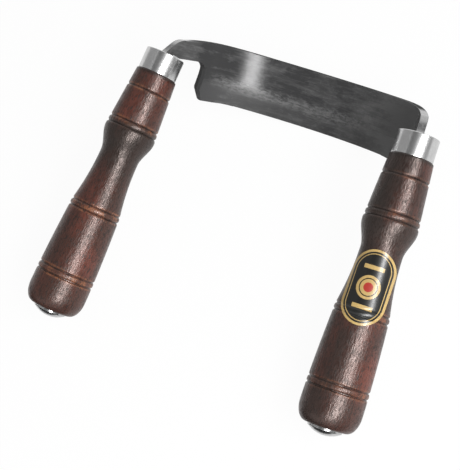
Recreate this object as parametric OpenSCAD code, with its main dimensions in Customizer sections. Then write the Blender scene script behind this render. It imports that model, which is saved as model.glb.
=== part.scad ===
// Inshave: a hollow-bladed drawing knife with two turned handles.
// The blade and both tangs are one forging. Each handle has a ferrule at its
// top and a domed cap nut at its butt, which pulls the handle up the tang.
// The blade's own frame: X across, Y from the cutting edge up to the spine,
// Z from the hollow face towards the centre of its arc.

/* [Blade] */
// Radius of the hollow face
blade_r = 69.7; // [64:0.5:76]
// Width from spine to cutting edge
blade_w = 29.2; // [27:0.2:33]
// Thickness of the strip
blade_t = 3.8; // [3:0.1:4.4]
// Length of the bevel, on the outer side
bevel_l = 8; // [5:0.5:12]
// Flat that is left on the cutting edge
edge_flat = 0.25; // [0.15:0.05:0.5]
// Half angle of the arc, from the middle to the blade's end
end_angle = 55; // [50:0.5:57]
// How far the unground heels reach below the cutting edge
heel_drop = 1.5; // [0.8:0.1:2.5]
// Length of each unground heel
heel_l = 15; // [10:0.5:20]
// How far the heel's bevel is set lower than its end, which leaves it blunt
heel_blunt = 1.5; // [1:0.1:2.5]
// Small step with which a heel starts
heel_step = 0.15; // [0.1:0.01:0.2]
// How far the spine falls from the middle of the blade to the neck
spine_drop = 3.8; // [1.5:0.1:4.5]
// Width of the neck
neck_w = 9.9; // [8.6:0.1:11.6]
// Width of the chamfer on the hollow side of the blade's ends
end_bevel = 1.1; // [0.6:0.1:1.6]
// Slant of that chamfer
end_slant = 45; // [35:1:55]
// Chamfer on the long edges of the spine
spine_chamfer = 0.4; // [0.2:0.1:0.8]

/* [Tangs] */
// Half angle of the arc, from the middle to a tang
tang_angle = 74; // [71:0.5:77]
// Tilt of the blade below the plane of the handles
tilt = 12; // [9:0.5:15]
// Width of the tang
tang_w = 4.6; // [4:0.1:6]
// Thickness of the tang
tang_t = 4.1; // [3.8:0.1:5]
// Size of the slanted and rounded shoulder between spine and tang
shoulder_cut = 8.5; // [2:0.5:9]
// Height of the spine's line over the top of the ferrule
ferrule_drop = 12.6; // [12.4:0.2:15]
// Length of the flat-sided tang inside the handle
tang_l = 112; // [90:1:120]
// Diameter of the tang's round end
pin_d = 4; // [3:0.1:5]

/* [Handles] */
// Length from the ferrule's top to the butt
handle_l = 138.8; // [130:0.2:150]
// Diameter behind the ferrule
shoulder_d = 21; // [19.8:0.2:24]
// Diameter at the second groove pair's far side
collar_d = 25.8; // [23:0.2:28]
// Diameter of the bulge before the waist
bulge_d = 26.4; // [24:0.2:30]
// Diameter of the waist
waist_d = 19.9; // [17:0.2:23]
// Diameter where the grip starts
grip_d = 25.6; // [22:0.2:28]
// Largest diameter of the grip
swell_d = 29.4; // [26:0.2:34]
// Diameter of the flat butt face
butt_d = 19.4; // [18:0.2:22]
// Place of the single groove, from the ferrule's top
groove_1 = 20.7; // [17:0.1:26]
// Place of the upper groove pair
groove_2 = 38.2; // [34:0.1:40]
// Place of the bulge's crest
bulge_pos = 43.4; // [42.6:0.1:46]
// Place of the waist
waist_pos = 56.2; // [53:0.1:62]
// Place of the middle groove pair
groove_3 = 83.7; // [78:0.1:90]
// Place of the lower groove pair
groove_4 = 118.6; // [110:0.1:121]
// Distance between the two grooves of a pair
bead_w = 3.05; // [2.6:0.05:4]
// Width of a groove
groove_w = 1.3; // [0.8:0.1:1.8]
// Depth of a groove
groove_d = 0.55; // [0.3:0.05:0.9]
// Length of the rounded butt
butt_round = 8.8; // [6:0.2:12]

/* [Ferrules] */
// Outer diameter of the ferrule
ferrule_d = 20; // [18:0.2:21]
// Length of the ferrule
ferrule_l = 11.2; // [9:0.2:14]
// Wall of the ferrule
ferrule_wall = 1.2; // [0.8:0.1:1.6]
// Chamfer on the ferrule's outer rims
ferrule_chamfer = 0.5; // [0.2:0.1:0.7]
// Depth of the wood's end below the ferrule's rim
end_recess = 0.4; // [0.2:0.1:1]

/* [Cap nuts] */
// Diameter of the cap
cap_d = 16.4; // [14:0.2:18]
// Height of the cap's dome
cap_h = 2.9; // [1.8:0.1:4]
// Height of the cap's straight rim
cap_rim = 0.9; // [0.5:0.1:1.5]
// Diameter of the nut's sleeve
sleeve_d = 8; // [7.5:0.1:10]
// Length of the nut's sleeve
sleeve_l = 9; // [6:0.5:14]

/* [Label] */
// Length of the label, along the handle
label_l = 35; // [28:0.5:40]
// Width of the label, seen from straight above it
label_w = 20; // [16:0.5:21]
// Thickness of the label
label_t = 0.2; // [0.15:0.05:0.4]
// Place of the label's middle, from the ferrule's top
label_pos = 73.5; // [68:0.5:80]
// Turn of the label round the handle
label_turn = 3; // [-15:1:15]

/* [Fits] */
// Clearance round the tang, on each side
tang_gap = 0.1; // [0.05:0.01:0.2]
// Clearance between ferrule and wood, on the radius
ferrule_gap = 0.05; // [0.02:0.01:0.1]
// Clearance round the tang's end and the nut's sleeve, on the radius
pin_gap = 0.05; // [0.02:0.01:0.1]
// Clearance between label and wood
label_gap = 0.03; // [0.02:0.01:0.05]

/* [Hidden] */
$fn = 96;
mid_r = blade_r + blade_t / 2;
out_r = blade_r + blade_t;

// The tang lies in the plane of the strip's end, which sets the handles' splay
splay = atan(sin(tilt) / tan(tang_angle));
tang_lean = atan((cos(tang_angle) * sin(splay) + sin(tang_angle) * cos(splay) * sin(tilt))
                 / (cos(splay) * cos(tilt)));

shoulder_r = shoulder_d / 2;
collar_r = collar_d / 2;
bulge_r = bulge_d / 2;
waist_r = waist_d / 2;
grip_r = grip_d / 2;
swell_r = swell_d / 2;
butt_r = butt_d / 2;
collar_pos = groove_2 + bead_w;
swell_pos = handle_l - butt_round;
tenon_r = ferrule_d / 2 - ferrule_wall - ferrule_gap;
dome_r = (cap_d * cap_d / 4 + cap_h * cap_h) / (2 * cap_h);

// Radius of the turned handle at a distance from the ferrule's top
function ease(t) = t * t * (3 - 2 * t);
function radius_at(u) =
    u <= collar_pos
        ? shoulder_r + (collar_r - shoulder_r) * (u - ferrule_l) / (collar_pos - ferrule_l)
    : u <= bulge_pos
        ? collar_r + (bulge_r - collar_r) * sin(90 * (u - collar_pos) / (bulge_pos - collar_pos))
    : u <= waist_pos
        ? bulge_r - (bulge_r - waist_r) * ease((u - bulge_pos) / (waist_pos - bulge_pos))
    : u <= groove_3
        ? waist_r + (grip_r - waist_r) * pow((u - waist_pos) / (groove_3 - waist_pos), 2)
    : u <= swell_pos
        ? swell_r - (swell_r - grip_r) * pow((swell_pos - u) / (swell_pos - groove_3), 1.6)
    : butt_r + (swell_r - butt_r) * sqrt(max(0, 1 - pow((u - swell_pos) / butt_round, 2)));

// Points [radius, place] of the profile, for runs of wood and for grooves
function run(a, b, n) = [for (i = [0:n]) let (u = a + (b - a) * i / n) [radius_at(u), u]];
function groove(u) = [[radius_at(u) - groove_d, u]];
function butt(n) = [for (i = [1:n]) let (u = swell_pos + butt_round * sin(90 * i / n))
                    [radius_at(u), u]];
half_w = groove_w / 2;
turned = concat(
    [[shoulder_r - 0.4, ferrule_l], [shoulder_r, ferrule_l + 0.4]],
    run(groove_1 - half_w - 0.1, groove_1 - half_w, 1), groove(groove_1),
    run(groove_1 + half_w, groove_2 - half_w, 1), groove(groove_2),
    run(groove_2 + half_w, collar_pos - half_w, 1), groove(collar_pos),
    run(collar_pos + half_w, bulge_pos, 3),
    run(bulge_pos + 0.8, waist_pos, 11),
    run(waist_pos + 1, groove_3 - half_w, 8), groove(groove_3),
    run(groove_3 + half_w, groove_3 + bead_w - half_w, 1), groove(groove_3 + bead_w),
    run(groove_3 + bead_w + half_w, groove_4 - half_w, 8), groove(groove_4),
    run(groove_4 + half_w, groove_4 + bead_w - half_w, 1), groove(groove_4 + bead_w),
    run(groove_4 + bead_w + half_w, swell_pos, 2),
    butt(9));

// The tang's axis in the blade's frame, and its direction towards the butt
tang_base = [mid_r * sin(tang_angle), -ferrule_drop, blade_r - mid_r * cos(tang_angle)];
tang_dir = [sin(splay), -cos(splay) * cos(tilt), cos(splay) * sin(tilt)];

// The part lies on the bench on its cutting edge and both butts. These find
// the turn about X at which the handles and the blade reach equally low.
function low_handle(a) =
    let (dz = tang_dir[1] * sin(a) + tang_dir[2] * cos(a),
         z0 = tang_base[1] * sin(a) + tang_base[2] * cos(a))
    min([for (p = turned) z0 + p[1] * dz - p[0] * sqrt(1 - dz * dz)]);
section = [[blade_r, -blade_w], [blade_r + edge_flat, -blade_w], [out_r, -blade_w + bevel_l]];
function low_blade(a) = min([for (p = section) p[1] * sin(a) + (blade_r - p[0]) * cos(a)]);
function level(lo, hi, n) =
    let (m = (lo + hi) / 2)
    n == 0 ? m : low_handle(m) > low_blade(m) ? level(m, hi, n - 1) : level(lo, m, n - 1);
pitch = level(tilt, tilt + 40, 40);

// Ends of the part along Y on the bench, to centre it on the origin
back_y = max([for (p = [[blade_r, 0], [out_r, -spine_chamfer], [out_r - spine_chamfer, 0]])
              p[1] * cos(pitch) - (blade_r - p[0]) * sin(pitch)]);
front_dy = tang_dir[1] * cos(pitch) - tang_dir[2] * sin(pitch);
dome_pos = handle_l + cap_rim + cap_h - dome_r;
front_y = tang_base[1] * cos(pitch) - tang_base[2] * sin(pitch)
          + min(concat([dome_pos * front_dy - dome_r],
                       [for (p = turned)
                        p[1] * front_dy - p[0] * sqrt(1 - front_dy * front_dy)]));

// Places a piece that is drawn in the blade's frame on the bench
module on_bench() {
    translate([0, -(back_y + front_y) / 2, -low_blade(pitch)])
    rotate([pitch, 0, 0])
    children();
}

// Places a piece that is drawn along a handle: Z towards the butt from the
// ferrule's top, X across the tang's width, Y through its thickness
module on_tang() {
    translate([0, 0, blade_r])
    rotate([0, -tang_angle, 0])
    translate([0, -ferrule_drop, -mid_r])
    rotate([0, 0, tang_lean])
    rotate([90, 0, 0])
    children();
}

// A sector of the strip from angle a to angle b, from points [radius, height]
module sector(a, b, outline) {
    translate([0, 0, blade_r])
    rotate([90, 0, 0])
    rotate([0, 0, a - 90])
    rotate_extrude(angle = b - a)
    polygon([for (p = outline) [p[0], -p[1]]]);
}

// Section of the strip as forged, deep enough for the heels
heel_end = -blade_w - heel_drop - heel_blunt;
strip_outline = [
    [blade_r, -spine_chamfer], [blade_r + spine_chamfer, 0],
    [out_r - spine_chamfer, 0], [out_r, -spine_chamfer],
    [out_r, heel_end + bevel_l], [blade_r + edge_flat, heel_end], [blade_r, heel_end]];

// What grinding takes off between the heels: it leaves the edge and its bevel
bevel_slope = bevel_l / (blade_t - edge_flat);
ground_off = [
    [blade_r - 1, -blade_w], [blade_r + edge_flat, -blade_w],
    [out_r + 1, -blade_w + bevel_l + bevel_slope], [out_r + 1, heel_end - 1],
    [blade_r - 1, heel_end - 1]];

// The cuts are drawn square to the strip at this angle, X along the strip
cut_angle = 66;
function along(angle) = blade_r * sin(angle - cut_angle);
module square_to_neck() {
    translate([0, 0, blade_r])
    rotate([0, -cut_angle, 0])
    translate([0, 0, -mid_r])
    linear_extrude(height = 60, center = true)
    children();
}
function arc(cx, cy, r, a, b, n) =
    [for (i = [0:n]) let (w = a + (b - a) * i / n) [cx + r * cos(w), cy + r * sin(w)]];

end_x = along(end_angle);
throat_x = end_x - 0.95;
beak_x = end_x - 0.4;
heel_x = end_x - 5;
tang_x = mid_r * sin(tang_angle - cut_angle);
under_y = -spine_drop * 0.55 - neck_w;
heel_y = -blade_w - heel_drop;
beak_y = -blade_w + 4;
heel_angle = cut_angle + asin((heel_x - heel_l) / blade_r);
// The tang's two sides at a height, and the line of the spine over it
function tang_side(side, y) = tang_x - (y + ferrule_drop) * tan(tang_lean)
                              + side * tang_w / 2 / cos(tang_lean);
drop_x = along(38);
function spine_y(x) = -spine_drop * pow(max(0, (x - drop_x) / (tang_x - 8 - drop_x)), 2.2);

// The shoulder runs from the spine to the tang's outer side, slanted and rounded
module above_the_spine() {
    upper_r = 1.2 * shoulder_cut;
    lower_r = 0.4 * shoulder_cut;
    side_x = tang_side(1, -spine_drop - shoulder_cut);
    top_x = side_x - shoulder_cut - upper_r * tan(22.5);
    top_y = spine_y(top_x);
    low_y = top_y - shoulder_cut - lower_r * tan(22.5);
    polygon(concat(
        [[drop_x, 4]],
        [for (i = [0:8]) let (x = drop_x + (top_x - drop_x) * i / 8) [x, spine_y(x)]],
        arc(top_x, top_y - upper_r, upper_r, 76, 45, 4),
        arc(side_x - lower_r, low_y, lower_r, 45, tang_lean, 3),
        [[tang_side(1, -ferrule_drop - 8), -ferrule_drop - 8],
         [tang_x + 30, -ferrule_drop - 8], [tang_x + 30, 4]]));
}

module below_the_neck() {
    fillet = 1.2;
    corner = 1.6;
    inner_y = -ferrule_drop + 0.9;
    polygon(concat(
        [[heel_x - heel_l - 8, -blade_w - heel_step],
         [heel_x - heel_l * 0.85, -blade_w - heel_step],
         [heel_x - heel_l * 0.6, -blade_w - heel_drop * 0.25],
         [heel_x - heel_l * 0.3, -blade_w - heel_drop * 0.65]],
        arc(heel_x + 1.6, heel_y + corner, corner, -95, -20, 4),
        [[beak_x, beak_y], [throat_x + 0.25, beak_y + 4], [throat_x, beak_y + 7.5]],
        arc(throat_x + 3.4, under_y - 3.2, 3.4, 180, 95, 5),
        [[tang_x - 8, under_y - 0.9]],
        arc(tang_side(-1, inner_y) - fillet, inner_y - fillet, fillet, 80, 0, 3),
        [[tang_x + 30, inner_y - fillet], [tang_x + 30, -blade_w - 12],
         [heel_x - heel_l - 8, -blade_w - 12]]));
}

// The blade's end is chamfered on the hollow side, above and below its beak.
// Each cut starts from the beak and is as long as given, downwards if negative.
module end_chamfer(lean, cut_l) {
    start = end_angle + (beak_x - end_x - end_bevel) / blade_r * 180 / PI;
    translate([0, 0, blade_r])
    rotate([0, -start, 0])
    translate([0, beak_y, -blade_r])
    rotate([0, 0, lean])
    rotate([0, end_slant, 0])
    translate([0, min(cut_l, -1), 0])
    cube([12, max(cut_l, 1) - min(cut_l, -1), 6]);
}

module half_blade() {
    difference() {
        sector(0, tang_angle + 6, strip_outline);
        sector(-1, heel_angle, ground_off);
        square_to_neck() above_the_spine();
        square_to_neck() below_the_neck();
        end_chamfer(4, under_y - 2 - beak_y);
        end_chamfer(-19, heel_end - beak_y - 1);
    }
    on_tang() {
        translate([-tang_w / 2, -tang_t / 2, -0.5])
        cube([tang_w, tang_t, tang_l + 0.5]);
        cylinder(d = pin_d, h = handle_l - 1);
    }
}

module blade() {
    color("slategray")
    on_bench() {
        half_blade();
        mirror([1, 0, 0]) half_blade();
    }
}

module handle() {
    difference() {
        rotate_extrude()
        polygon(concat(
            [[0, end_recess], [tenon_r - 0.3, end_recess], [tenon_r, end_recess + 0.3],
             [tenon_r, ferrule_l]],
            turned, [[0, handle_l]]));
        translate([-tang_w / 2 - tang_gap, -tang_t / 2 - tang_gap, -1])
        cube([tang_w + 2 * tang_gap, tang_t + 2 * tang_gap, tang_l + tang_gap + 1]);
        cylinder(d = pin_d + 2 * pin_gap, h = handle_l + 1);
        translate([0, 0, handle_l - sleeve_l - tang_gap])
        cylinder(d = sleeve_d + 2 * pin_gap, h = sleeve_l + 1);
    }
}

module ferrule() {
    c = ferrule_chamfer;
    o = ferrule_d / 2;
    i = o - ferrule_wall;
    rotate_extrude()
    polygon([[i, c / 2], [i + c / 2, 0], [o - c, 0], [o, c], [o, ferrule_l - c],
             [o - c, ferrule_l], [i, ferrule_l]]);
}

module cap_nut() {
    translate([0, 0, handle_l])
    difference() {
        union() {
            intersection() {
                cylinder(d = cap_d, h = cap_rim + cap_h);
                translate([0, 0, dome_pos - handle_l]) sphere(r = dome_r);
            }
            translate([0, 0, -sleeve_l]) cylinder(d = sleeve_d, h = sleeve_l + 0.1);
        }
        translate([0, 0, -sleeve_l - 1])
        cylinder(d = pin_d + 2 * pin_gap, h = sleeve_l + 1.5);
    }
}

module label_shell() {
    a = label_pos - label_l / 2 - 1;
    b = label_pos + label_l / 2 + 1;
    inner = run(a, b, 16);
    intersection() {
        rotate([0, 0, -80])
        rotate_extrude(angle = 160)
        polygon(concat(
            [for (p = inner) [p[0] + label_gap, p[1]]],
            [for (i = [16:-1:0]) [inner[i][0] + label_gap + label_t, inner[i][1]]]));
        translate([0, 0, label_pos])
        rotate([90, 0, 90])
        linear_extrude(height = swell_d)
        union() {
            for (s = [-1, 1])
            translate([0, s * (label_l - label_w) / 2]) circle(d = label_w);
            square([label_w, label_l - label_w], center = true);
        }
    }
}

module handle_right() { color("saddlebrown") on_bench() on_tang() handle(); }
module handle_left() {
    color("saddlebrown") on_bench() mirror([1, 0, 0]) on_tang() handle();
}
module ferrule_right() { color("gainsboro") on_bench() on_tang() ferrule(); }
module ferrule_left() {
    color("gainsboro") on_bench() mirror([1, 0, 0]) on_tang() ferrule();
}
module cap_nut_right() { color("silver") on_bench() on_tang() cap_nut(); }
module cap_nut_left() {
    color("silver") on_bench() mirror([1, 0, 0]) on_tang() cap_nut();
}
module label() {
    color("goldenrod") on_bench() on_tang() rotate([0, 0, label_turn]) label_shell();
}

blade();
handle_left();
handle_right();
ferrule_left();
ferrule_right();
cap_nut_left();
cap_nut_right();
label();
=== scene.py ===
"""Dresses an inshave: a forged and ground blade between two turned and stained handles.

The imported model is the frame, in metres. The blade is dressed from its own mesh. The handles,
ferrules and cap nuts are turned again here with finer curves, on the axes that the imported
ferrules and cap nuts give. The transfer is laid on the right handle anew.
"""

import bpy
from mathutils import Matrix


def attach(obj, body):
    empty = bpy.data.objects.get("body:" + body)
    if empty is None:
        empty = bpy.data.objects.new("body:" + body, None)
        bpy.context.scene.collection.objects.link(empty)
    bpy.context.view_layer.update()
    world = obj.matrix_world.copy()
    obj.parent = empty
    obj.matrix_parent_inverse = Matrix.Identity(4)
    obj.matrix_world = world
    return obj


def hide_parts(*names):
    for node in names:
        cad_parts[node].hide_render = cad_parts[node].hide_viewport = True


bl_info = {
    "name": "Inshave",
    "version": (1, 0, 0),
    "blender": (4, 5, 0),
    "location": "3D View > Sidebar > Inshave",
    "description": "Dresses an inshave with a forged blade, stained handles and plated fittings",
    "category": "Object",
}

import math

import bmesh
import bpy
from bpy.props import FloatProperty, FloatVectorProperty, IntProperty, PointerProperty
from mathutils import Matrix, Vector

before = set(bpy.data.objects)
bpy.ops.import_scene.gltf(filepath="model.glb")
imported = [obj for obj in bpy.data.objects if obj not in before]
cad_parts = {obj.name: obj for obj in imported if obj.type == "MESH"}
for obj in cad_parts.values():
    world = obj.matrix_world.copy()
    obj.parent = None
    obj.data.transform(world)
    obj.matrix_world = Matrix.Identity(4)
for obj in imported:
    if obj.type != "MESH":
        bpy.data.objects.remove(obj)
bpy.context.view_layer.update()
SIDES = ("left", "right")
WHITE = (1.0, 1.0, 1.0)

# Small fits and roundings of the turned pieces, in metres
TENON_GAP = 0.00005
TENON_CHAMFER = 0.0003
SHOULDER_ROUND = 0.0004
CAP_GAP = 0.00002
CAP_CHAMFER = 0.0001
CAP_EDGE_DROP = 0.00005
LIP_W = 0.00045
LABEL_INSET = 0.00002

# How finely the pieces are divided
FERRULE_SEGMENTS = 96
CAP_SEGMENTS = 72
RIM_STEPS = 6
BUTT_STEPS = 16
EDGE_STEPS = 4
DOME_STEPS = 18
LABEL_ROWS, LABEL_COLUMNS = 72, 36

# Where the stain and the right handle's painted side shade change along a handle, from the
# ferrule's top: start and end of each change
LEFT_WARM = (0.110, 0.120)
RIGHT_WARM = (0.095, 0.112)
SHADED_SIDE = (0.045, 0.085)

# Linear colours that need no setting
GROOVE_DIRT = (0.008, 0.005, 0.004)
# Painted shadow on the wood just below a ferrule
SEAM_SHADOW = (0.010, 0.008, 0.007)
OPEN_PORE = (0.010, 0.007, 0.006)
EDGE_BLACK = (0.014, 0.014, 0.014)
SIDE_BLACK = (0.016, 0.016, 0.016)
RUBBED_STEEL = (0.22, 0.22, 0.22)
STEEL_SHADE = (0.25, 0.25, 0.25)
# Painted reflection: the dark band across the middle of the blade's ground flanks
FLANK_PAINTED_DARK = (0.075, 0.075, 0.076)

# Where the key light stands, in parts of right, up and the line of sight
KEY_FROM = (0.315, -0.139, -0.939)
# Width, height and distance of the lights, the bright core and the cards, in metres
KEY_SIZE, KEY_AWAY = (0.26, 0.90), 0.90
SOFT_SIZE, SOFT_AWAY = (1.0, 1.6), 1.0
CORE_SIZE, CORE_AWAY = (0.140, 1.30), 0.88
CARD_HEIGHT, CARD_AWAY = 1.6, 0.92
# Name, tone, degrees off the line of sight and width of each card
CARDS = (("card_key", 0.24, 21.5, 1.00),
         ("card_dark", 0.17, -25.0, 0.60),
         ("card_left", 0.43, -76.0, 1.05),
         ("card_right", 0.36, 100.0, 2.20))
FRONT_TONE, FRONT_SIZE, FRONT_PLACE = 0.05, (1.2, 0.8), (0.0, -0.4955, 0.0005)
FLOOR_DROP = 0.0002
FLOOR_SHADOW = 0.05
SENSOR_MM = 36.0


def length(name, default, description):
    """A size in metres that a user may change."""
    return FloatProperty(name=name, description=description, default=default, min=0.0,
                         precision=5, subtype="DISTANCE", unit="LENGTH")


def factor(name, default, description, top=1.0):
    """A plain number."""
    return FloatProperty(name=name, description=description, default=default, min=0.0, max=top)


def colour(name, default, description):
    """A linear colour."""
    return FloatVectorProperty(name=name, description=description, default=default,
                               subtype="COLOR", size=3, min=0.0, max=1.0)


def turning(name, degrees, description):
    """An angle, given here in degrees."""
    return FloatProperty(name=name, description=description, default=math.radians(degrees),
                         subtype="ANGLE")


def point(name, default, description):
    """A point in the frame."""
    return FloatVectorProperty(name=name, description=description, default=default, size=3,
                               precision=6, subtype="TRANSLATION", unit="LENGTH")


class HandleSettings(bpy.types.PropertyGroup):
    """Sizes along the handle, from the ferrule's top, and the look of its wood."""

    handle_l: length("Length", 0.1388, "From the ferrule's top to the butt")
    shoulder_d: length("Shoulder", 0.021, "Diameter behind the ferrule")
    collar_d: length("Collar", 0.0258, "Diameter at the upper groove pair's far side")
    bulge_d: length("Bulge", 0.0264, "Diameter of the bulge before the waist")
    waist_d: length("Waist", 0.0199, "Diameter of the waist")
    grip_d: length("Grip", 0.0256, "Diameter where the grip starts")
    swell_d: length("Swell", 0.02936, "Largest diameter of the grip")
    butt_d: length("Butt", 0.0194, "Diameter of the flat butt face")
    groove_1: length("Single groove", 0.0207, "Place of the single groove")
    groove_2: length("Upper pair", 0.0382, "Place of the upper groove pair")
    groove_3: length("Middle pair", 0.0837, "Place of the middle groove pair")
    groove_4: length("Lower pair", 0.1186, "Place of the lower groove pair")
    bulge_pos: length("Bulge place", 0.0434, "Place of the bulge's crest")
    waist_pos: length("Waist place", 0.0562, "Place of the waist")
    bead_w: length("Bead", 0.00305, "Distance between the two grooves of a pair")
    groove_w: length("Groove width", 0.0015, "Width of a groove")
    groove_d: length("Groove depth", 0.0006, "Depth of a groove")
    bead_h: length("Bead height", 0.00012, "How far the bead between two grooves is crowned")
    butt_round: length("Butt rounding", 0.0088, "Length of the rounded butt")
    end_recess: length("End recess", 0.0004, "Depth of the wood's end below the ferrule's rim")
    step: length("Step", 0.00045, "Length of one ring of the turned mesh")
    segments: IntProperty(name="Segments", description="Faces round the handle",
                          default=96, min=24, max=192)
    stain: colour("Left stain", (0.062, 0.027, 0.020), "Brown of the left handle")
    stain_right: colour("Right stain", (0.052, 0.027, 0.022), "Darker brown of the right handle")
    stain_dark: colour("Dark grain", (0.024, 0.014, 0.012), "Colour of the dark grain lines")
    stain_red: colour("Red stain", (0.140, 0.040, 0.027), "Redder places in the stain")
    # Black of the stain, and of the painted shade down the right handle's far side
    stain_black_and_shade: colour("Black stain", (0.020, 0.017, 0.015), "Nearly black places in the stain")
    stain_thin: colour("Thin stain", (0.270, 0.105, 0.050), "Where beads and lips show wood")
    lacquer_tint: colour("Lacquer tint", (1.0, 0.85, 0.80), "Tint of the lacquer's gloss")
    lacquer: factor("Lacquer roughness", 0.325, "Roughness of the satin lacquer")


class FittingSettings(bpy.types.PropertyGroup):
    """Sizes and finish of the ferrules and the cap nuts."""

    ferrule_d: length("Ferrule diameter", 0.01996, "Outer diameter")
    ferrule_l: length("Ferrule length", 0.0112, "Length along the handle")
    ferrule_wall: length("Ferrule wall", 0.0012, "Wall thickness")
    ferrule_rim: length("Ferrule rim", 0.0005, "Radius of the rounded rims")
    cap_d: length("Cap diameter", 0.01636, "Diameter of the cap")
    cap_h: length("Dome height", 0.00288, "Height of the dome over the straight rim")
    cap_rim: length("Cap rim", 0.0009, "Height of the straight rim")
    cap_edge: length("Cap edge", 0.0003, "Radius of the edge between rim and dome")
    sleeve_d: length("Sleeve diameter", 0.008, "Diameter of the sleeve inside the butt")
    sleeve_l: length("Sleeve length", 0.009, "Length of that sleeve")
    plating: colour("Plating", (0.60, 0.60, 0.60), "Colour of the polished ferrules")
    plating_rough: factor("Plating roughness", 0.25, "Roughness of the ferrules")
    cap_plating: colour("Cap plating", (0.50, 0.50, 0.50), "Colour of the cap nuts")
    cap_rough: factor("Cap roughness", 0.21, "Roughness of the cap nuts")


class BladeSettings(bpy.types.PropertyGroup):
    """Where the blade's arc lies, and the look of its steel."""

    hollow_r: length("Hollow radius", 0.0697, "Radius of the hollow face")
    thickness: length("Thickness", 0.0038, "Thickness of the strip")
    width: length("Width", 0.0292, "From the spine to the cutting edge")
    place: point("Place", (0.0, 0.0851643, 0.0142463), "Middle of the spine, on the hollow face")
    pitch: turning("Pitch", 28.7101, "Turn of the blade about X as it lies")
    rubbed_from_edge: length("Rubbed streak", 0.0102, "From the edge to the streak's middle")
    rubbed_w: length("Rubbed streak width", 0.0048, "Half width of the streak")
    scale_black: colour("Forge scale", (0.048, 0.048, 0.049), "Dark skin of the forged faces")
    # Also the lighter tone of the painted light on the necks and towards the right
    scale_grey_and_painted_light: colour("Worn scale", (0.150, 0.150, 0.150), "Where that skin is thin")
    steel: colour("Ground steel", (0.42, 0.42, 0.42), "Bare steel of the ground faces")
    rough: factor("Roughness", 0.095, "Roughness of the forged faces")
    edge_rough: factor("Roughness by the edge", 0.58, "Roughness of the dull zone by the edge")
    ground_rough: factor("Ground roughness", 0.26, "Roughness of the ground faces")


class LabelSettings(bpy.types.PropertyGroup):
    """Size, place and colours of the plain transfer on the right handle."""

    label_l: length("Length", 0.035, "Along the handle")
    label_w: length("Width", 0.020, "Seen from straight above it")
    label_t: length("Thickness", 0.0002, "Thickness of the skin")
    label_pos: length("Place", 0.0735, "From the ferrule's top to its middle")
    label_gap: length("Gap", 0.00003, "Gap under the skin")
    rim_w: length("Rim", 0.0011, "Width of the gold rim")
    line_pos: length("Line place", 0.0021, "From the edge to the fine gold line")
    disc_r: length("Disc", 0.0056, "Radius of the gold disc")
    ring_r: length("Ring", 0.0040, "Radius of the black ring on the disc")
    core_r: length("Core", 0.0023, "Radius of the red accent")
    bar_pos: length("Bar place", 0.0092, "From the middle to each gold bar")
    bar_l: length("Bar length", 0.0096, "Length of a bar, across the label")
    bar_w: length("Bar width", 0.0020, "Width of a bar")
    ground: colour("Ground", (0.010, 0.010, 0.009), "Black of the field")
    gold: colour("Gold", (0.58, 0.40, 0.15), "Printed gold")
    accent: colour("Accent", (0.42, 0.035, 0.025), "Red accent")


class StageSettings(bpy.types.PropertyGroup):
    """Floor, lights and camera."""

    floor_w: length("Floor", 6.0, "Side of the square floor")
    view_target: point("Target", (-0.00467, -0.01677, 0.02241), "Point that the camera looks at")
    view_distance: length("Distance", 0.620, "From the camera to the target")
    view_azimuth: turning("Azimuth", 54.076, "Camera's turn round the object")
    view_elevation: turning("Elevation", 60.473, "Camera's height angle")
    view_roll: turning("Roll", -29.545, "Turn about the line of sight")
    lens_mm: FloatProperty(name="Lens", description="Focal length on a 36 mm sensor",
                           default=98.24, min=10.0)
    key_strength: factor("Key light", 8.0, "Brightness of the key light", 50.0)
    core_strength: factor("Key core", 30.0, "Brightness of its narrow core in reflections", 90.0)
    key_lean: turning("Key lean", 40.0, "Turn of the long key light")
    fill_strength: factor("Soft light", 1.0, "Brightness of the wide soft light", 50.0)
    room_strength: factor("Room light", 0.30, "Brightness of the room for matt surfaces", 5.0)


def settings():
    """All settings, by group."""
    return bpy.context.scene.inshave


class InshaveSettings(bpy.types.PropertyGroup):
    """Every group of settings of the inshave."""

    handle: PointerProperty(type=HandleSettings)
    fitting: PointerProperty(type=FittingSettings)
    blade: PointerProperty(type=BladeSettings)
    label: PointerProperty(type=LabelSettings)
    stage: PointerProperty(type=StageSettings)


# Places and axes

def axes_at(place, x_axis, y_axis, z_axis):
    """Matrix of three axes at a place."""
    turn = Matrix((x_axis, y_axis, z_axis)).transposed().to_4x4()
    return Matrix.Translation(place) @ turn


def solid_centre(name):
    """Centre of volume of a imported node, which lies on the axis of a turned piece."""
    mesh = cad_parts[name].data
    mesh.calc_loop_triangles()
    total, moment = 0.0, Vector()
    for triangle in mesh.loop_triangles:
        a, b, c = (mesh.vertices[i].co for i in triangle.vertices)
        volume = a.dot(b.cross(c)) / 6
        total += volume
        moment += volume * (a + b + c) / 4
    return moment / total


def handle_axis(side):
    """Matrix of a handle: Z from the ferrule's top to the butt, X towards the label's side."""
    ferrule = solid_centre("ferrule_" + side)
    down = (solid_centre("cap_nut_" + side) - ferrule).normalized()
    top = ferrule - down * settings().fitting.ferrule_l / 2
    right_top = solid_centre("ferrule_right")
    right_down = (solid_centre("cap_nut_right") - right_top).normalized()
    out = solid_centre("label") - right_top
    out -= out.dot(right_down) * right_down
    if side == "left":
        out.x = -out.x
    x_axis = out.normalized()
    return axes_at(top, x_axis, down.cross(x_axis), down)


# Turned pieces

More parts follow.
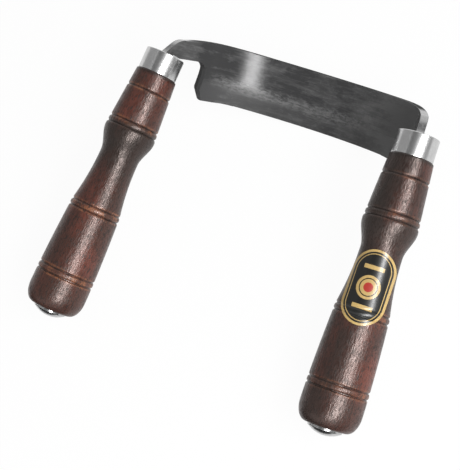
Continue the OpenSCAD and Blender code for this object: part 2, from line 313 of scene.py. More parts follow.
def turned(outline, segments, closed=False):
    """A mesh spun from an outline of (radius, place) points, closed or open at both ends."""
    bm = bmesh.new()
    points = [bm.verts.new((r, 0.0, z)) for r, z in outline]
    pairs = list(zip(points, points[1:]))
    if closed:
        pairs.append((points[-1], points[0]))
    edges = [bm.edges.new(pair) for pair in pairs]
    bmesh.ops.spin(bm, geom=points + edges, cent=(0, 0, 0), axis=(0, 0, 1),
                   angle=2 * math.pi, steps=segments, use_merge=True)
    bmesh.ops.remove_doubles(bm, verts=bm.verts, dist=1e-7)
    bmesh.ops.recalc_face_normals(bm, faces=bm.faces)
    return bm


def mesh_object(bm, name, material):
    """Makes the mesh an object in the scene."""
    mesh = bpy.data.meshes.new(name)
    bm.to_mesh(mesh)
    bm.free()
    mesh.materials.append(material)
    piece = bpy.data.objects.new(name, mesh)
    bpy.context.scene.collection.objects.link(piece)
    return piece


def finish_piece(bm, name, matrix, node, material, sharp=40):
    """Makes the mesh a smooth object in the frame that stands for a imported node."""
    bm.transform(matrix)
    for edge in bm.edges:
        edge.smooth = edge.calc_face_angle(0.0) < math.radians(sharp)
    for face in bm.faces:
        face.smooth = True
    piece = mesh_object(bm, name, material)
    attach(piece, "root")
    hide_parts(node)
    return piece


def ease(t):
    """Smooth step from 0 to 1."""
    return t * t * (3 - 2 * t)


def plain_radius(h, u):
    """Radius of the handle at a place, before its grooves."""
    ferrule_l = settings().fitting.ferrule_l
    collar_pos = h.groove_2 + h.bead_w
    swell_pos = h.handle_l - h.butt_round
    shoulder, collar, bulge = h.shoulder_d / 2, h.collar_d / 2, h.bulge_d / 2
    waist, grip, swell, butt = h.waist_d / 2, h.grip_d / 2, h.swell_d / 2, h.butt_d / 2
    if u <= collar_pos:
        return shoulder + (collar - shoulder) * (u - ferrule_l) / (collar_pos - ferrule_l)
    if u <= h.bulge_pos:
        t = (u - collar_pos) / (h.bulge_pos - collar_pos)
        return collar + (bulge - collar) * math.sin(math.pi / 2 * t)
    if u <= h.waist_pos:
        return bulge - (bulge - waist) * ease((u - h.bulge_pos) / (h.waist_pos - h.bulge_pos))
    if u <= h.groove_3:
        return waist + (grip - waist) * ((u - h.waist_pos) / (h.groove_3 - h.waist_pos)) ** 2
    if u <= swell_pos:
        return swell - (swell - grip) * ((swell_pos - u) / (swell_pos - h.groove_3)) ** 1.6
    rest = min(1.0, (u - swell_pos) / h.butt_round)
    return butt + (swell - butt) * math.sqrt(1 - rest * rest)


def groove_places(h):
    """The single groove and the six grooves of the three pairs."""
    firsts = (h.groove_2, h.groove_3, h.groove_4)
    return [h.groove_1] + [place + k * h.bead_w for place in firsts for k in (0, 1)]


def sunk(h, u):
    """How deep a place lies in a groove, from 0 to 1."""
    near = min(abs(u - place) for place in groove_places(h))
    return max(0.0, math.cos(math.pi / 2 * min(1.0, near / (h.groove_w / 2)))) ** 1.5


def beaded(h, u):
    """How high a place lies on the bead between two grooves, from 0 to 1."""
    for place in (h.groove_2, h.groove_3, h.groove_4):
        if place < u < place + h.bead_w:
            return math.sin(math.pi * (u - place) / h.bead_w)
    return 0.0


def handle_radius(h, u):
    """Radius of the turned handle with its grooves and beads."""
    return plain_radius(h, u) + h.bead_h * beaded(h, u) - h.groove_d * sunk(h, u)


def handle_outline(h):
    """Outline from the middle of the tenon's end to the middle of the butt."""
    f = settings().fitting
    tenon = f.ferrule_d / 2 - f.ferrule_wall - TENON_GAP
    shoulder = h.shoulder_d / 2
    half_round = 0.3 * SHOULDER_ROUND
    points = [(0.0, h.end_recess), (tenon - TENON_CHAMFER, h.end_recess),
              (tenon, h.end_recess + TENON_CHAMFER), (tenon, f.ferrule_l),
              (shoulder - SHOULDER_ROUND, f.ferrule_l),
              (shoulder - half_round, f.ferrule_l + half_round)]
    start, swell_pos = f.ferrule_l + SHOULDER_ROUND, h.handle_l - h.butt_round
    count = round((swell_pos - start) / h.step)
    for i in range(count + 1):
        u = start + (swell_pos - start) * i / count
        points.append((handle_radius(h, u), u))
    for i in range(1, BUTT_STEPS + 1):
        u = swell_pos + h.butt_round * math.sin(math.pi / 2 * i / BUTT_STEPS)
        points.append((plain_radius(h, u), u))
    points.append((0.0, h.handle_l))
    return points


def mark_wear(bm, h):
    """Vertex values for the wood: where the stain is thin and where a groove holds dirt."""
    thin = bm.verts.layers.float.new("thin_stain")
    dirt = bm.verts.layers.float.new("groove_dirt")
    for vert in bm.verts:
        u = vert.co.z
        near = min(abs(u - place) for place in groove_places(h))
        lip = math.exp(-((near - 0.55 * h.groove_w) / LIP_W) ** 2)
        vert[thin] = min(1.0, lip + 0.7 * beaded(h, u))
        vert[dirt] = sunk(h, u)


def ferrule_outline(f):
    """Closed outline of the ring, with rounded rims."""
    outer, rim = f.ferrule_d / 2, f.ferrule_rim
    inner = outer - f.ferrule_wall
    quarter = [math.pi / 2 * i / RIM_STEPS for i in range(RIM_STEPS + 1)]
    points = [(inner, f.ferrule_l), (inner, rim / 2), (inner + rim / 2, 0.0)]
    points += [(outer - rim + rim * math.sin(a), rim - rim * math.cos(a)) for a in quarter]
    points += [(outer - rim + rim * math.cos(a), f.ferrule_l - rim + rim * math.sin(a))
               for a in quarter]
    return points


def cap_outline(f, h):
    """Outline of the cap nut from the sleeve's end to the top of the dome."""
    r, sleeve, edge, butt = f.cap_d / 2, f.sleeve_d / 2, f.cap_edge, h.handle_l
    dome_r = (r * r + f.cap_h * f.cap_h) / (2 * f.cap_h)
    points = [(0.0, butt - f.sleeve_l), (sleeve, butt - f.sleeve_l), (sleeve, butt + CAP_GAP),
              (r - CAP_CHAMFER, butt + CAP_GAP), (r, butt + CAP_GAP + CAP_CHAMFER)]
    half = math.asin((r - edge) / dome_r)
    for i in range(1, EDGE_STEPS + 1):
        a = (math.pi / 2 - half) * i / EDGE_STEPS
        points.append((r - edge + edge * math.cos(a),
                       butt + f.cap_rim - CAP_EDGE_DROP + edge * math.sin(a)))
    centre = butt + f.cap_rim + f.cap_h - dome_r
    for i in range(1, DOME_STEPS + 1):
        a = half * (1 - i / DOME_STEPS)
        points.append((dome_r * math.sin(a), centre + dome_r * math.cos(a)))
    return points


# Node helpers

class Tree:
    """Short calls for building the nodes of a material or of the world."""

    def __init__(self, owner):
        self.owner = owner
        owner.use_nodes = True
        self.nodes = owner.node_tree.nodes
        self.links = owner.node_tree.links
        self.nodes.clear()
        self.column = 0

    def add(self, kind, attributes=None, **values):
        """Adds a node, sets its attributes, and sets or links its inputs by name."""
        node = self.nodes.new(kind)
        node.location = (self.column * 40, 0)
        self.column += 1
        for key, value in (attributes or {}).items():
            setattr(node, key, value)
        for key, value in values.items():
            name = key.replace("_", " ")
            if name[:2] == "In" and name[2:].isdigit():
                socket = node.inputs[int(name[2:])]
            else:
                socket = node.inputs[name]
            self.feed(socket, value)
        return node

    def feed(self, socket, value):
        """Links an output to a socket, or sets its value."""
        if isinstance(value, bpy.types.NodeSocket):
            self.links.new(value, socket)
        elif isinstance(value, bpy.types.Node):
            self.links.new(value.outputs[0], socket)
        elif socket.type == "RGBA" and len(value) == 3:
            socket.default_value = (*value, 1.0)
        else:
            socket.default_value = value

    def place(self, matrix=None):
        """Object coordinates, seen in a piece's own axes."""
        source = self.add("ShaderNodeTexCoord").outputs["Object"]
        if matrix is None:
            return source
        return self.add("ShaderNodeMapping", {"vector_type": "TEXTURE"}, Vector=source,
                        Location=matrix.to_translation(), Rotation=matrix.to_euler()).outputs[0]

    def stretch(self, vector, scale):
        """Scales coordinates, so that a pattern is longer one way than another."""
        return self.add("ShaderNodeMapping", Vector=vector, Scale=scale).outputs[0]

    def noise(self, vector, scale, detail=3.0, rough=0.55, distort=0.0):
        """Noise from 0 to 1."""
        return self.add("ShaderNodeTexNoise", Vector=vector, Scale=scale, Detail=detail,
                        Roughness=rough, Distortion=distort).outputs[0]

    def math(self, operation, a, b=0.0, clamp=False):
        """One sum."""
        return self.add("ShaderNodeMath", {"operation": operation, "use_clamp": clamp},
                        In0=a, In1=b).outputs[0]

    def plus(self, a, b, clamp=False):
        """Sum of two values, if need be kept between 0 and 1."""
        return self.math("ADD", a, b, clamp)

    def times(self, a, b):
        """Product of two values."""
        return self.math("MULTIPLY", a, b)

    def most(self, a, b):
        """The larger of two values."""
        return self.math("MAXIMUM", a, b)

    def gap(self, a, b):
        """Distance between two values."""
        return self.math("ABSOLUTE", self.math("SUBTRACT", a, b))

    def reach(self, a, b):
        """Distance of a point from zero, by its two coordinates."""
        return self.math("SQRT", self.plus(self.times(a, a), self.times(b, b)))

    def seen(self):
        """1 where the camera, a reflection or a look through glass meets the surface."""
        path = self.add("ShaderNodeLightPath").outputs
        seen = self.most(path["Is Camera Ray"], path["Is Glossy Ray"])
        return self.most(seen, path["Is Transmission Ray"])

    def ramp(self, value, low, high, bottom=0.0, top=1.0):
        """Maps low..high to bottom..top, with soft ends."""
        node = self.add("ShaderNodeMapRange", {"interpolation_type": "SMOOTHSTEP"}, Value=value,
                        From_Min=low, From_Max=high, To_Min=bottom, To_Max=top)
        return node.outputs[0]

    def mix(self, amount, a, b):
        """Mixes two colours."""
        node = self.add("ShaderNodeMix", {"data_type": "RGBA"}, In0=amount)
        self.feed(node.inputs[6], a)
        self.feed(node.inputs[7], b)
        return node.outputs[2]

    def bump(self, height, strength, distance, normal=None):
        """Fine relief."""
        node = self.add("ShaderNodeBump", Strength=strength, Distance=distance, Height=height)
        if normal is not None:
            self.feed(node.inputs["Normal"], normal)
        return node.outputs[0]

    def surface(self, **values):
        """The shader and its output."""
        shader = self.add("ShaderNodeBsdfPrincipled", **values)
        self.add("ShaderNodeOutputMaterial", Surface=shader.outputs[0])
        return self.owner


def material_tree(name):
    """The nodes of a new material."""
    return Tree(bpy.data.materials.new(name))


# Materials

def wood(side, matrix):
    """Stained and lacquered wood, with its grain along the handle."""
    h = settings().handle
    t = material_tree("stained_wood_" + side)
    own = t.place(matrix)
    split = t.add("ShaderNodeSeparateXYZ", Vector=own)
    beside, along = split.outputs[1], split.outputs[2]

    def drawn(by, *pattern):
        """Noise drawn out along the handle."""
        return t.noise(t.stretch(own, (1.0, 1.0, by)), *pattern)

    lines = drawn(0.06, 850.0, 4.0, 0.6, 0.3)
    broad = drawn(0.22, 150.0, 3.0, 0.55, 0.5)
    fleck = drawn(0.28, 1400.0, 2.0, 0.5)
    pores = t.ramp(drawn(0.35, 1300.0, 2.0, 0.6), 0.54, 0.61)
    cloud = drawn(0.5, 62.0, 3.0, 0.5)
    patchy = t.noise(own, 190.0, 3.0, 0.6)

    # Red clouds in the brown, warmer in some places and calmer on the butt
    warmest = 0.28
    butt = (h.groove_4 + 0.003, h.groove_4 + 0.008)
    if side == "left":
        plain, reddest, bared = h.stain, 1.0, 0.9
        warm = t.plus(t.ramp(along, h.groove_2 - 0.002, h.groove_2 + 0.002, warmest, 0.0),
                      t.ramp(along, *LEFT_WARM, 0.0, 0.18))
    else:
        plain, reddest, bared = h.stain_right, 0.85, 0.55
        warm = t.times(t.ramp(along, *RIGHT_WARM, 0.0, warmest),
                       t.ramp(beside, -0.005, 0.004, 1.0, 0.0))
    red = t.plus(t.ramp(cloud, 0.43, 0.64, 0.0, reddest), warm, True)
    tone = t.mix(t.times(red, t.ramp(along, *butt, 1.0, 0.45)), plain, h.stain_red)

    # Dark grain, fainter where the stain is warm
    dark = t.plus(t.times(t.ramp(lines, 0.38, 0.68), 0.4),
                  t.times(t.ramp(broad, 0.38, 0.66), 0.6), True)
    grained = t.times(t.ramp(warm, 0.0, warmest, 1.0, 0.65), t.ramp(along, *butt, 0.85, 0.50))
    tone = t.mix(t.times(dark, grained), tone, h.stain_dark)

    # Nearly black stain from the bulge on, and painted shade, nearly black, down the side of the
    # right handle turned away from the light
    black = t.times(t.ramp(along, h.bulge_pos - 0.006, h.bulge_pos - 0.002),
                    t.ramp(along, h.bulge_pos + 0.008, h.bulge_pos + 0.042, 1.0, 0.0))
    if side == "right":
        painted_side_shade = t.times(t.ramp(along, *SHADED_SIDE, 1.0, 0.5),
                            t.ramp(beside, -0.004, 0.006))
        black = t.most(t.times(black, 0.6), painted_side_shade)
    black = t.times(black, t.ramp(broad, 0.30, 0.70, 0.95, 0.65))
    tone = t.mix(black, tone, h.stain_black_and_shade)

    # Thin stain on beads and lips, dirt in the grooves, painted shadow just below the ferrule,
    # and open pores
    thin = t.add("ShaderNodeAttribute", {"attribute_name": "thin_stain"}).outputs["Fac"]
    dirt = t.add("ShaderNodeAttribute", {"attribute_name": "groove_dirt"}).outputs["Fac"]
    show = t.times(thin, t.ramp(patchy, 0.38, 0.62, 0.10, bared))
    # The thin stain is held back in the black stain and in the painted shade
    tone = t.mix(t.times(show, t.ramp(black, 0.15, 0.65, 1.0, 0.12)), tone, h.stain_thin)
    tone = t.mix(t.times(dirt, t.ramp(patchy, 0.30, 0.66, 0.95, 0.35)), tone, GROOVE_DIRT)
    # Painted shadow: a dark band on the wood just below the ferrule
    top = settings().fitting.ferrule_l
    seam_shadow = t.times(t.ramp(along, top + 0.0006, top + 0.0026, 0.95, 0.0),
                   t.ramp(patchy, 0.30, 0.60, 1.0, 0.7))
    tone = t.mix(seam_shadow, tone, SEAM_SHADOW)
    tone = t.mix(t.times(pores, 0.80), tone, OPEN_PORE)

    relief = t.bump(fleck, 0.40, 0.00035)
    relief = t.bump(t.noise(own, 300.0, 2.0, 0.5), 0.18, 0.0006, relief)
    rough = t.plus(t.ramp(fleck, 0.42, 0.60, 0.08, -0.06), h.lacquer)
    rough = t.plus(rough, t.times(pores, 0.15))
    return t.surface(Base_Color=tone, Roughness=rough, Normal=relief, IOR=1.5,
                     Specular_Tint=tuple(h.lacquer_tint))


def shaded(tone, part):
    """A colour made darker."""
    return [part * value for value in tone]


def plating(name, tone, rough):
    """Polished plating, with a faint haze and fine specks."""
    t = material_tree(name)
    own = t.place()
    haze = t.noise(own, 260.0, 3.0, 0.6)
    specks = t.noise(own, 1700.0, 2.0, 0.5)
    shade = t.mix(t.ramp(haze, 0.35, 0.70, 0.0, 0.5), tone, shaded(tone, 0.82))
    roughness = t.plus(t.ramp(haze, 0.3, 0.7, rough - 0.01, rough + 0.015),
                       t.ramp(specks, 0.62, 0.75, 0.0, 0.015))
    relief = t.bump(t.noise(own, 160.0, 2.0, 0.5), 0.04, 0.0001)
    return t.surface(Base_Color=shade, Metallic=1.0, Roughness=roughness, Normal=relief)


def arc_matrix():
    """Axes of the blade's arc: X across, Y up to the spine from it, Z out of the hollow."""
    b = settings().blade
    turn = Matrix.Rotation(b.pitch, 4, "X")
    middle = Vector(b.place) + turn @ Vector((0.0, 0.0, b.hollow_r))
    return Matrix.Translation(middle) @ turn


def blade_material():
    """Dark forged faces with a rubbed streak, and bare steel where it is ground."""
    b = settings().blade
    t = material_tree("forged_and_ground_steel")
    across, up, out = t.add("ShaderNodeSeparateXYZ", Vector=t.place(arc_matrix())).outputs
    depth = t.reach(across, out)
    angle = t.math("ARCTAN2", across, t.times(out, -1.0))
    from_edge = t.plus(up, b.width)
    sheet = t.add("ShaderNodeCombineXYZ", X=t.times(angle, b.hollow_r), Y=up, Z=depth).outputs[0]
    brushed = t.noise(t.stretch(sheet, (0.05, 1.0, 1.0)), 2400.0, 4.0, 0.6)
    bands = t.noise(t.stretch(sheet, (0.14, 1.0, 1.0)), 380.0, 3.0, 0.55)
    mottle = t.noise(t.stretch(sheet, (0.40, 1.0, 1.0)), 900.0, 5.0, 0.70, 0.4)
    cloud = t.noise(sheet, 70.0, 4.0, 0.6)

    def over(low, high, bottom=0.0, top=1.0):
        """A ramp between two angles round the arc, in degrees."""
        return t.ramp(angle, math.radians(low), math.radians(high), bottom, top)

    # The strip's narrow sides, and the ground part of them by the ferrules
    outer = b.hollow_r + b.thickness
    side = t.times(t.ramp(depth, b.hollow_r + 0.00010, b.hollow_r + 0.00020),
                   t.ramp(depth, outer - 0.00022, outer - 0.00012, 1.0, 0.0))
    early = t.times(t.ramp(up, -0.0080, -0.0040, 0.0, math.radians(5.5)),
                    t.ramp(angle, 0.0, 0.1))
    early = t.plus(early, t.ramp(angle, -0.1, 0.0, math.radians(-2.0), 0.0))
    off = t.plus(t.gap(angle, math.radians(1.5)), early)
    end = t.times(t.ramp(off, math.radians(59.5), math.radians(65.5)),
                  t.ramp(up, -0.0136, -0.0128))
    ground = t.times(side, end)

    # The rubbed streak along the cutting edge
    middle = over(-46.0, -8.0, b.rubbed_from_edge + 0.0006, b.rubbed_from_edge)
    streak = t.times(t.ramp(t.gap(from_edge, middle), 0.2 * b.rubbed_w, b.rubbed_w, 1.0, 0.0),
                     over(4.0, 36.0, 1.0, 0.10))
    streak = t.times(streak, over(-53.0, -46.0))
    rubbed = t.times(streak, t.ramp(mottle, 0.36, 0.62))

    # Forge scale, thin in bands, flecks and clouds; lighter on the necks and towards the right
    # as painted light, and darker left of the highlight band
    scale_wear_and_painted_light = t.plus(t.times(t.ramp(bands, 0.42, 0.70), 0.40),
                  t.times(t.ramp(mottle, 0.47, 0.72), 0.30))
    scale_wear_and_painted_light = t.plus(scale_wear_and_painted_light, t.times(t.ramp(brushed, 0.45, 0.75), 0.20))
    scale_wear_and_painted_light = t.plus(scale_wear_and_painted_light, t.ramp(cloud, 0.42, 0.66, -0.12, 0.16))
    # Painted light by the angle round the arc: darker left of the highlight band, lighter on the
    # necks and the right half
    scale_wear_and_painted_light = t.plus(scale_wear_and_painted_light, over(-50.0, -40.0, -0.35, 0.0))
    scale_wear_and_painted_light = t.plus(scale_wear_and_painted_light, over(-62.0, -54.0, 0.75, 0.0))
    scale_wear_and_painted_light = t.plus(scale_wear_and_painted_light, over(5.0, 45.0), True)
    tone = t.mix(scale_wear_and_painted_light, b.scale_black, b.scale_grey_and_painted_light)
    black_edge = t.times(t.ramp(from_edge, 0.0030, 0.0085, 0.48, 0.0),
                         over(-20.0, -6.0, 1.0, 0.0))
    tone = t.mix(t.times(black_edge, over(-42.0, -30.0)), tone, EDGE_BLACK)
    tone = t.mix(t.times(rubbed, 0.44), tone, RUBBED_STEEL)
    tone = t.mix(t.times(side, t.ramp(up, -0.0125, -0.0060, 0.10, 0.85)), tone, SIDE_BLACK)

    # Bare steel, with a dark band across the middle of the flanks as painted reflection
    bare = t.mix(t.ramp(brushed, 0.35, 0.70, 0.0, 0.35), b.steel, STEEL_SHADE)
    flank_dark_band = t.ramp(t.gap(up, -0.0084), 0.0006, 0.0034, 0.85, 0.0)
    bare = t.mix(t.times(flank_dark_band, t.ramp(mottle, 0.30, 0.60, 0.5, 1.0)), bare, FLANK_PAINTED_DARK)
    tone = t.mix(ground, tone, bare)

    rough = t.plus(t.ramp(from_edge, 0.0050, 0.0130, b.edge_rough, b.rough),
                   t.times(streak, 0.12))
    rough = t.plus(rough, t.ramp(cloud, 0.3, 0.7, -0.03, 0.03))
    rough = t.plus(rough, t.times(side, 0.80))
    rough = t.plus(rough, t.times(ground, t.math("SUBTRACT", b.ground_rough, rough)))
    relief = t.bump(brushed, 0.35, 0.00012)
    relief = t.bump(mottle, 0.08, 0.00020, relief)
    relief = t.bump(cloud, 0.03, 0.0010, relief)
    return t.surface(Base_Color=tone, Metallic=ground, Roughness=rough, Normal=relief, IOR=1.3)


def transfer():
    """Plain printed transfer: black ground, gold rim and line, a gold disc and two bars."""
    s = settings().label
    t = material_tree("printed_transfer")
    uv = t.add("ShaderNodeUVMap", {"uv_map": "print"}).outputs[0]
    split = t.add("ShaderNodeSeparateXYZ", Vector=uv)
    along, across = split.outputs[0], split.outputs[1]

    def inside(value, limit, soft):
        """1 below the limit, with a soft edge."""
        return t.ramp(value, limit - soft, limit, 1.0, 0.0)

    half, straight = s.label_w / 2, (s.label_l - s.label_w) / 2
    far_along, far_across = t.math("ABSOLUTE", along), t.math("ABSOLUTE", across)
    radius = t.reach(t.most(t.math("SUBTRACT", far_along, straight), 0.0), across)
    from_middle = t.reach(along, across)
    rim = t.ramp(radius, half - s.rim_w - 0.00008, half - s.rim_w + 0.00008)
    line = inside(t.gap(radius, half - s.line_pos), 0.00026, 0.00014)
    disc = inside(from_middle, s.disc_r, 0.0002)
    bar = t.times(inside(t.gap(far_along, s.bar_pos), s.bar_w / 2, 0.0001),
                  inside(far_across, s.bar_l / 2, 0.0002))
    grain = t.noise(t.place(), 900.0, 2.0, 0.5)
    gold = t.mix(t.ramp(grain, 0.35, 0.65, 0.0, 0.35), s.gold, shaded(s.gold, 0.78))
    tone = t.mix(t.most(t.most(rim, line), t.most(disc, bar)), s.ground, gold)
    tone = t.mix(inside(t.gap(from_middle, s.ring_r), 0.0003, 0.0001), tone, s.ground)
    tone = t.mix(inside(from_middle, s.core_r, 0.0002), tone, s.accent)
    relief = t.bump(t.noise(t.place(), 1100.0, 2.0, 0.5), 0.10, 0.0002)
    return t.surface(Base_Color=tone, Roughness=0.30, Normal=relief, IOR=1.5)


def pale_floor():
    """White towards the camera and in reflections, over a matt surface that keeps the shadow."""
    t = material_tree("pale_floor")
    matt = t.add("ShaderNodeBsdfDiffuse", Color=WHITE)
    glow = t.add("ShaderNodeEmission", Color=WHITE, Strength=1.0)
    both = t.add("ShaderNodeMixShader", In0=t.times(t.seen(), 1.0 - FLOOR_SHADOW),
                 In1=matt.outputs[0], In2=glow.outputs[0])
    t.add("ShaderNodeOutputMaterial", Surface=both.outputs[0])
    return t.owner


def room(level):
    """A world that is white where it is seen, and lights matt surfaces at a plain level."""
    t = Tree(bpy.data.worlds.new("room"))
    strength = t.add("ShaderNodeMapRange", Value=t.seen(), To_Min=level, To_Max=1.0)
    background = t.add("ShaderNodeBackground", Color=WHITE, Strength=strength.outputs[0])
    t.add("ShaderNodeOutputWorld", Surface=background.outputs[0])
    return t.owner


# Label skin

def label_skin(s, h):
    """An oval sheet laid on the handle's side, with its print in a UV map."""
    bm = bmesh.new()
    bmesh.ops.create_grid(bm, x_segments=LABEL_ROWS, y_segments=LABEL_COLUMNS, size=1.0)
    straight = (s.label_l - s.label_w) / 2
    layer = bm.loops.layers.uv.new("print")
    flat = {}
    for vert in bm.verts:
        along = math.sin(math.pi / 2 * vert.co.x) * (s.label_l / 2 - LABEL_INSET)
        past = max(0.0, abs(along) - straight)
        half = math.sqrt(max(0.0, (s.label_w / 2) ** 2 - past * past))
        across = vert.co.y * half
        u = s.label_pos + along
        r = handle_radius(h, u) + s.label_gap + s.label_t
        vert.co = (math.sqrt(r * r - across * across), across, u)
        flat[vert] = (along, across)
    for face in bm.faces:
        for loop in face.loops:
            loop[layer].uv = flat[loop.vert]
    bmesh.ops.recalc_face_normals(bm, faces=bm.faces)
    middle = max(bm.faces, key=lambda face: face.normal.x)
    if middle.normal.x < 0:
        bmesh.ops.reverse_faces(bm, faces=bm.faces)
    bmesh.ops.solidify(bm, geom=bm.faces, thickness=s.label_t)
    return bm


# Operators

class INSHAVE_OT_blade(bpy.types.Operator):
    """Dress the blade in dark forged steel, bare where it is ground"""

    bl_idname = "inshave.blade"
    bl_label = "Blade"

    def execute(self, context):
        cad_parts["blade"].material_slots[0].material = blade_material()
        return {"FINISHED"}


class INSHAVE_OT_handles(bpy.types.Operator):
    """Turn both handles, with their grooves and beads, in stained wood"""

    bl_idname = "inshave.handles"
    bl_label = "Handles"

    def execute(self, context):
        h = settings().handle
        for side in SIDES:
            bm = turned(handle_outline(h), h.segments)
            mark_wear(bm, h)
            matrix = handle_axis(side)
            finish_piece(bm, "turned_handle_" + side, matrix, "handle_" + side,
                         wood(side, matrix))
        return {"FINISHED"}


class INSHAVE_OT_ferrules(bpy.types.Operator):
    """Turn both ferrules with rounded rims"""

    bl_idname = "inshave.ferrules"
    bl_label = "Ferrules"

    def execute(self, context):
        f = settings().fitting
        finish = plating("ferrule_plating", f.plating, f.plating_rough)
        for side in SIDES:
            bm = turned(ferrule_outline(f), FERRULE_SEGMENTS, closed=True)
            finish_piece(bm, "turned_ferrule_" + side, handle_axis(side),
                         "ferrule_" + side, finish)
        return {"FINISHED"}


class INSHAVE_OT_cap_nuts(bpy.types.Operator):
    """Turn both domed cap nuts"""

    bl_idname = "inshave.cap_nuts"
    bl_label = "Cap nuts"

    def execute(self, context):
        f, h = settings().fitting, settings().handle
        finish = plating("cap_plating", f.cap_plating, f.cap_rough)
        for side in SIDES:
            bm = turned(cap_outline(f, h), CAP_SEGMENTS)
            finish_piece(bm, "turned_cap_" + side, handle_axis(side),
                         "cap_nut_" + side, finish)
        return {"FINISHED"}


class INSHAVE_OT_label(bpy.types.Operator):
    """Lay the plain printed transfer on the right handle"""

    bl_idname = "inshave.label"
    bl_label = "Label"

    def execute(self, context):
        s, h = settings().label, settings().handle
        finish_piece(label_skin(s, h), "printed_label", handle_axis("right"),
                     "label", transfer(), 60)
        return {"FINISHED"}


# Stage

def view_axes(s):
    """The camera's line of sight, and its right and up directions."""
    a, e = s.view_azimuth, s.view_elevation
    sight = Vector((-math.sin(a) * math.cos(e), math.cos(a) * math.cos(e), -math.sin(e)))
    level = Vector((math.cos(a), math.sin(a), 0.0))
    above = level.cross(sight)
    right = level * math.cos(s.view_roll) + above * math.sin(s.view_roll)
    return sight, right, right.cross(sight)


def beside_view(s, degrees):
    """A direction from the object, turned off the line of sight about the handles' axis."""
    axes = [handle_axis(side).to_3x3() @ Vector((0, 0, 1)) for side in SIDES]
    axis = (axes[0] + axes[1]).normalized()
    sight, right, _ = view_axes(s)
    back = -sight
    back = (back - back.dot(axis) * axis).normalized()
    side = axis.cross(back)
    if side.dot(right) < 0:
        side = -side
    a = math.radians(degrees)
    return back * math.cos(a) + side * math.sin(a), axis


def facing(direction, axis, distance, target):
    """Matrix of a light or card that faces the target, with its long side along an axis."""
    z_axis = direction.normalized()
    x_axis = axis.cross(z_axis).normalized()
    return axes_at(target + z_axis * distance, x_axis, z_axis.cross(x_axis), z_axis)


def flat_sheet(width, height):
    """A flat sheet round the origin."""
    bm = bmesh.new()
    bmesh.ops.create_grid(bm, x_segments=1, y_segments=1, size=0.5)
    bmesh.ops.scale(bm, vec=(width, height, 1.0), verts=bm.verts)
    return bm


def card(name, tone, width, height, matrix):
    """A card that only reflections show."""
    t = material_tree(name)
    glow = t.add("ShaderNodeEmission", Color=(tone, tone, tone), Strength=1.0)
    t.add("ShaderNodeOutputMaterial", Surface=glow.outputs[0])
    bm = flat_sheet(width, height)
    bm.transform(matrix)
    piece = mesh_object(bm, name, t.owner)
    piece.visible_camera = False
    piece.visible_diffuse = False
    piece.visible_shadow = False
    piece.visible_transmission = False


def area_light(name, strength, width, height, matrix):
    """A soft light whose strength is the brightness of its face."""
    lamp = bpy.data.lights.new(name, "AREA")
    lamp.shape = "RECTANGLE"
    lamp.size = width
    lamp.size_y = height
    lamp.energy = strength * math.pi * width * height
    light = bpy.data.objects.new(name, lamp)
    light.matrix_world = matrix
    bpy.context.scene.collection.objects.link(light)
    return light


def lay_floor(s):
    """The pale floor, just under the tool."""
    floor = mesh_object(flat_sheet(s.floor_w, s.floor_w), "floor", pale_floor())
    floor.location = (0.0, 0.0, -FLOOR_DROP)


def set_lights(s):
    """The long key light with its bright core, a wide soft light, and the cards."""
    target = Vector(s.view_target)
    sight, right, up = view_axes(s)
    key = right * KEY_FROM[0] + up * KEY_FROM[1] + sight * KEY_FROM[2]
    lean = right * math.sin(s.key_lean) + up * math.cos(s.key_lean)
    area_light("key", s.key_strength, *KEY_SIZE, facing(key, lean, KEY_AWAY, target))
    soft = area_light("soft", s.fill_strength, *SOFT_SIZE, facing(key, lean, SOFT_AWAY, target))
    soft.visible_glossy = False
    card("core", s.core_strength, *CORE_SIZE, facing(key, lean, CORE_AWAY, target))
    for name, tone, degrees, width in CARDS:
        direction, axis = beside_view(s, degrees)
        card(name, tone, width, CARD_HEIGHT, facing(direction, axis, CARD_AWAY, target))
    card("card_front", FRONT_TONE, *FRONT_SIZE, Matrix.Translation(FRONT_PLACE))


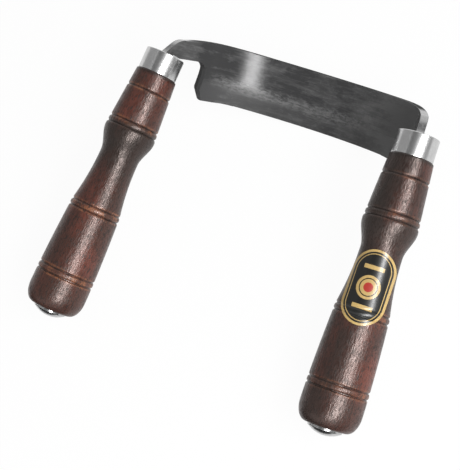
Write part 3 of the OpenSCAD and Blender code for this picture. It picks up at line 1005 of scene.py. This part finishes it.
def photo_camera(s):
    """The camera, at the photograph's viewing angle."""
    lens = bpy.data.cameras.new("camera")
    lens.lens = s.lens_mm
    lens.sensor_width = SENSOR_MM
    lens.clip_start = 0.01
    lens.clip_end = 20.0
    camera = bpy.data.objects.new("camera", lens)
    sight, right, up = view_axes(s)
    place = Vector(s.view_target) - sight * s.view_distance
    camera.matrix_world = axes_at(place, right, up, -sight)
    bpy.context.scene.collection.objects.link(camera)
    return camera


class INSHAVE_OT_stage(bpy.types.Operator):
    """Make the pale floor, the soft lights and the camera"""

    bl_idname = "inshave.stage"
    bl_label = "Stage"

    def execute(self, context):
        s = settings().stage
        scene = context.scene
        scene.view_settings.view_transform = "Standard"
        lay_floor(s)
        set_lights(s)
        scene.world = room(s.room_strength)
        scene.camera = photo_camera(s)
        return {"FINISHED"}


class INSHAVE_PT_panel(bpy.types.Panel):
    """Lists the pieces of the inshave"""

    bl_label = "Inshave"
    bl_idname = "INSHAVE_PT_panel"
    bl_space_type = "VIEW_3D"
    bl_region_type = "UI"
    bl_category = "Inshave"

    def draw(self, context):
        for operator in OPERATORS:
            self.layout.operator(operator.bl_idname)


GROUPS = (HandleSettings, FittingSettings, BladeSettings, LabelSettings, StageSettings,
          InshaveSettings)
OPERATORS = (INSHAVE_OT_blade, INSHAVE_OT_handles, INSHAVE_OT_ferrules, INSHAVE_OT_cap_nuts,
             INSHAVE_OT_label, INSHAVE_OT_stage)


def register():
    """Registers every class and the settings."""
    for item in GROUPS + OPERATORS + (INSHAVE_PT_panel,):
        bpy.utils.register_class(item)
    bpy.types.Scene.inshave = PointerProperty(type=InshaveSettings)


def unregister():
    """Removes the settings and every class."""
    del bpy.types.Scene.inshave
    for item in reversed(GROUPS + OPERATORS + (INSHAVE_PT_panel,)):
        bpy.utils.unregister_class(item)


def main():
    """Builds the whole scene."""
    register()
    bpy.ops.inshave.blade()
    bpy.ops.inshave.handles()
    bpy.ops.inshave.ferrules()
    bpy.ops.inshave.cap_nuts()
    bpy.ops.inshave.label()
    bpy.ops.inshave.stage()


if __name__ == "__main__":
    main()
